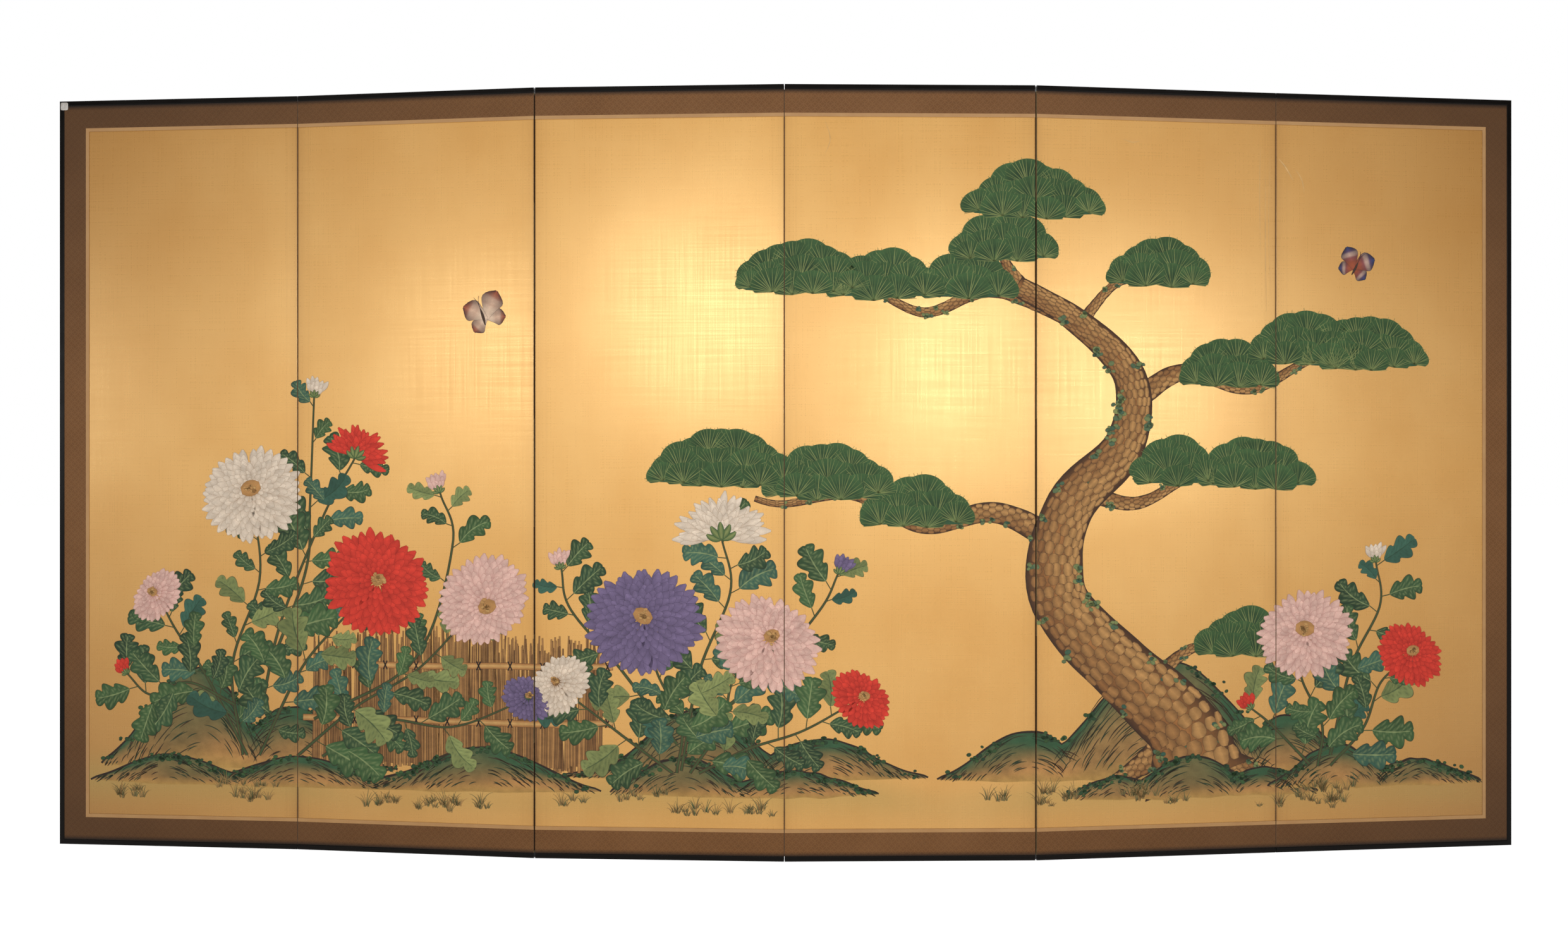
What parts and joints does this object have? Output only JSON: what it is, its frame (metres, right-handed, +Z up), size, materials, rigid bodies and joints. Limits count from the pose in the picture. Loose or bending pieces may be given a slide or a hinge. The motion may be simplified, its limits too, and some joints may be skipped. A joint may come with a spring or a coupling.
{
  "type": "folding screen",
  "caption": "Free-standing folding screen of tall paper-covered panels in black lacquered rails, joined by interlaced paper hinges.",
  "frame": {"origin": "on the floor, at the centre of the box around the standing screen", "axes": "+X to the right along the screen seen from its painted side, +Y from the painted side to the back, +Z up"},
  "size_m": [3.3718, 0.1684, 1.727],
  "materials": {
    "cedar": "matte",
    "under_paper": "matte",
    "gold_silk": "satin",
    "fillet": "satin",
    "brocade": "satin",
    "back_paper": "matte",
    "lacquer": "gloss",
    "bamboo": "matte",
    "hinge_paper": "matte",
    "corner_metal": "satin"
  },
  "bodies": {
    "panel_1": {"panel_1_lattice_core": "cedar", "panel_1_under_papers": "under_paper", "panel_1_painting_sheet": "gold_silk", "panel_1_fillet_strips": "fillet", "panel_1_brocade_border": "brocade", "panel_1_back_paper": "back_paper", "panel_1_lacquer_frame": "lacquer", "panel_1_bamboo_pegs": "bamboo", "hinge_1_even_straps": "hinge_paper", "corner_plate": "corner_metal"},
    "panel_2": {"panel_2_lattice_core": "cedar", "panel_2_under_papers": "under_paper", "panel_2_painting_sheet": "gold_silk", "panel_2_fillet_strips": "fillet", "panel_2_brocade_border": "brocade", "panel_2_back_paper": "back_paper", "panel_2_lacquer_rails": "lacquer", "panel_2_bamboo_pegs": "bamboo", "hinge_1_odd_straps": "hinge_paper", "hinge_2_odd_straps": "hinge_paper"},
    "panel_3": {"panel_3_lattice_core": "cedar", "panel_3_under_papers": "under_paper", "panel_3_painting_sheet": "gold_silk", "panel_3_fillet_strips": "fillet", "panel_3_brocade_border": "brocade", "panel_3_back_paper": "back_paper", "panel_3_lacquer_rails": "lacquer", "panel_3_bamboo_pegs": "bamboo", "hinge_2_even_straps": "hinge_paper", "hinge_3_even_straps": "hinge_paper"},
    "panel_4": {"panel_4_lattice_core": "cedar", "panel_4_under_papers": "under_paper", "panel_4_painting_sheet": "gold_silk", "panel_4_fillet_strips": "fillet", "panel_4_brocade_border": "brocade", "panel_4_back_paper": "back_paper", "panel_4_lacquer_rails": "lacquer", "panel_4_bamboo_pegs": "bamboo", "hinge_3_odd_straps": "hinge_paper", "hinge_4_odd_straps": "hinge_paper"},
    "panel_5": {"panel_5_lattice_core": "cedar", "panel_5_under_papers": "under_paper", "panel_5_painting_sheet": "gold_silk", "panel_5_fillet_strips": "fillet", "panel_5_brocade_border": "brocade", "panel_5_back_paper": "back_paper", "panel_5_lacquer_rails": "lacquer", "panel_5_bamboo_pegs": "bamboo", "hinge_4_even_straps": "hinge_paper", "hinge_5_even_straps": "hinge_paper"},
    "panel_6": {"panel_6_lattice_core": "cedar", "panel_6_under_papers": "under_paper", "panel_6_painting_sheet": "gold_silk", "panel_6_fillet_strips": "fillet", "panel_6_brocade_border": "brocade", "panel_6_back_paper": "back_paper", "panel_6_lacquer_frame": "lacquer", "panel_6_bamboo_pegs": "bamboo", "hinge_5_odd_straps": "hinge_paper"}
  },
  "joints": [
    {"name": "hinge_1", "type": "hinge", "parent": "panel_2", "child": "panel_1", "pos_m": [-1.1161, 0.01804, 0], "axis": [0, 0, 1], "range_deg": [-7.27, 177.23]},
    {"name": "hinge_2", "type": "hinge", "parent": "panel_3", "child": "panel_2", "pos_m": [-0.55851, -0.0372, 0], "axis": [0, 0, -1], "range_deg": [-9.15, 173.85]},
    {"name": "hinge_3", "type": "hinge", "parent": "panel_3", "child": "panel_4", "pos_m": [-0.00021, -0.0846, 0], "axis": [0, 0, -1], "range_deg": [-0.49, 184.01]},
    {"name": "hinge_4", "type": "hinge", "parent": "panel_4", "child": "panel_5", "pos_m": [0.55934, -0.05524, 0], "axis": [0, 0, 1], "range_deg": [-10.13, 171.87]},
    {"name": "hinge_5", "type": "hinge", "parent": "panel_5", "child": "panel_6", "pos_m": [1.1177, -0.00848, 0], "axis": [0, 0, -1], "range_deg": [-4.82, 179.68]}
  ]
}
